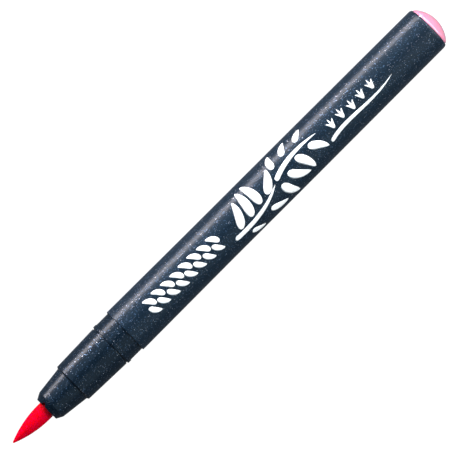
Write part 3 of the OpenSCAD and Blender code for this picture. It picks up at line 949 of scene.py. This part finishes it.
# The front section's blue is darkened to two thirds as painted shade; its gloss and specular level
# are its own.
section_navy_painted_shade = navy_flake_plastic("navy_flake_section", 0.28, 1.0, depth=0.66, share=0.28,
                                  mirror=0.22)
cap_navy = navy_flake_plastic("navy_flake_cap", 0.33, 2.0)
white_ink = screen_ink()
new_pieces = [
    (barrel, barrel_navy, "pen", "flake_plastic", "barrel"),
    (section, section_navy_painted_shade, "pen", "flake_plastic", "front_section"),
    (nib, nib_tip(), "pen", "nib_elastomer", "brush_nib"),
    (plug, plug_plastic(), "pen", "plug_plastic", "tail_plug"),
    (cap, cap_navy, "cap", "flake_plastic", "cap_shell"),
    (leaf_print, white_ink, "pen", "print_ink", None),
    (sprig_print, white_ink, "pen", "print_ink", None),
    (tuft_print, white_ink, "pen", "print_ink", None),
    (long_print, white_ink, "pen", "print_ink", None)]
for piece, material, body, slot, node in new_pieces:
    piece.data.materials.clear()
    piece.data.materials.append(material)
    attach(piece, body)
    if node:
        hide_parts(node)

milky, fibre = natural_plastic(), inked_fibre()
kept_nodes = {"nib_retainer": milky, "inner_cap": milky, "relay_core": fibre,
              "ink_reservoir": fibre, "reservoir_film": clear_film()}
for node, material in kept_nodes.items():
    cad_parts[node].data.materials.clear()
    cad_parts[node].data.materials.append(material)
print(len(new_pieces), "new pieces and", len(kept_nodes), "packed pieces have their finish")

# %% [markdown]
# ## Floor, light and camera
# A dark glossy tube shows its light sources as long stripes, so the lights are placed by where
# their reflections should fall. A narrow strip low on the +Y side draws the bright line along
# the pen, and a blue and a grey panel on either side of the camera fill the rest. The gap above
# the pen, between the panels, is what keeps the middle of the tube dark. Two more panels stand
# beyond the tail. From above, a tube mirrors only light that comes square to its axis, so they
# brighten the print, the nib and the dome and leave the navy plastic dark. The sky is brighter
# towards the horizon, which lifts the tube's two edges. The floor is plain and pale: it looks
# nearly white to the camera, but it is a quieter grey to everything that it lights.

# %% The floor
def pale_floor():
    """Nearly white where the camera sees it, light grey where it lights the pen."""
    floor_glow = 0.97
    material = bpy.data.materials.new("pale_floor")
    material.use_nodes = True
    tree = material.node_tree
    tree.nodes.clear()
    seen = add(tree, "LightPath").outputs["Is Camera Ray"]
    paper = add(tree, "BsdfDiffuse", {"Color": (0.10, 0.10, 0.10, 1)})
    glow = add(tree, "Emission", {"Color": (1, 1, 1, 1), "Strength": floor_glow})
    bright = add(tree, "AddShader", {0: paper.outputs[0], 1: glow.outputs[0]})
    quiet = add(tree, "BsdfDiffuse", {"Color": (0.15, 0.155, 0.16, 1)})
    mix = add(tree, "MixShader", {0: seen, 1: quiet.outputs[0], 2: bright.outputs[0]})
    out = add(tree, "OutputMaterial")
    tree.links.new(mix.outputs[0], out.inputs["Surface"])
    return material


half_floor = 4.0
floor_mesh = bpy.data.meshes.new("floor")
quarters = (-1, -1), (1, -1), (1, 1), (-1, 1)
floor_mesh.from_pydata([(x * half_floor, y * half_floor, floor_z) for x, y in quarters],
                       [], [(0, 1, 2, 3)])
floor = bpy.data.objects.new("floor", floor_mesh)
scene.collection.objects.link(floor)
floor_mesh.materials.append(pale_floor())

# %% The surroundings
horizon_light, overhead_light, overhead_from = 0.26, 0.06, 0.7
world = bpy.data.worlds.new("studio")
scene.world = world
world.use_nodes = True
tree = world.node_tree
tree.nodes.clear()
seen = add(tree, "LightPath").outputs["Is Camera Ray"]
skyward = add(tree, "SeparateXYZ", {0: add(tree, "TexCoord").outputs["Generated"]}).outputs["Z"]
strength = ranged(tree, skyward, horizon_light, overhead_light, 0.0, overhead_from,
                  interpolation_type="SMOOTHSTEP")
dim = add(tree, "Background", {"Color": (0.78, 0.88, 1.0, 1), "Strength": strength})
white = add(tree, "Background", {"Color": (1, 1, 1, 1), "Strength": 1.0})
mix = add(tree, "MixShader", {0: seen, 1: dim.outputs[0], 2: white.outputs[0]})
tree.links.new(mix.outputs[0], add(tree, "OutputWorld").inputs["Surface"])

# %% The lights
middle = Vector(((nose_x + tail_x) / 2 * MM, 0, 0))


def panel(name, lean, ahead, distance, long, across, radiance, colour):
    """A soft light that faces the pen. From straight above it leans towards +Y and then ahead,
    towards +X, in degrees. long is its size along the pen and across the other, in metres."""
    light = bpy.data.lights.new(name, "AREA")
    light.shape = "RECTANGLE"
    light.size, light.size_y = long, across
    light.energy = radiance * math.pi * long * across
    light.color = colour
    lamp = bpy.data.objects.new(name, light)
    scene.collection.objects.link(lamp)
    lean, ahead = math.radians(lean), math.radians(ahead)
    away = Vector((math.sin(ahead), math.cos(ahead) * math.sin(lean),
                   math.cos(ahead) * math.cos(lean)))
    along = (Vector((1, 0, 0)) - away * away.x).normalized()
    facing = Matrix((along, away.cross(along), away)).transposed().to_4x4()
    lamp.matrix_world = Matrix.Translation(middle + away * distance) @ facing
    lamp.visible_camera = False
    print(name, "gives", round(light.energy, 2), "W")


panel("key_strip", 74.5, 0, 0.45, 0.48, 0.13, 20.0, (0.97, 0.91, 0.94))
panel("blue_panel", 36, 0, 0.60, 0.80, 0.44, 1.5, (0.52, 0.75, 1.0))
panel("grey_panel", -43, 0, 0.60, 0.80, 0.62, 0.74, (0.72, 0.92, 1.0))
panel("tail_panel", 8, 45, 0.64, 0.36, 1.20, 5.6, (1.0, 1.0, 1.0))
panel("fill_panel", -60, 40, 0.60, 0.40, 0.40, 2.0, (1.0, 1.0, 1.0))

# %% The camera
# It looks almost straight down on the printed side, from far enough away that the pen keeps
# the same width from end to end, and it is turned so that the pen lies from corner to corner.
camera_height, camera_lens, film_width, roll = 1.290, 438.5, 36, 45.017
aim = Vector((0.06996, -0.00064, 0.0))
camera_data = bpy.data.cameras.new("camera")
camera_data.lens = camera_lens
camera_data.sensor_width = film_width
camera_data.clip_start, camera_data.clip_end = 0.05, 20
camera = bpy.data.objects.new("camera", camera_data)
scene.collection.objects.link(camera)
camera.location = (0.0, aim.y, camera_height)
back = (camera.location - aim).normalized()
upward = Vector((math.sin(math.radians(roll)), math.cos(math.radians(roll)), 0))
right = upward.cross(back).normalized()
upright = back.cross(right)
facing = Matrix((right, upright, back)).transposed().to_4x4()
camera.matrix_world = Matrix.Translation(camera.location) @ facing
scene.camera = camera
scene.view_settings.view_transform = "Standard"
scene.view_settings.look = "None"

# %% Print the packed model's box and finish
print("CAD box", [round(v / MM, 3) for v in (*cad_low, *cad_high)])
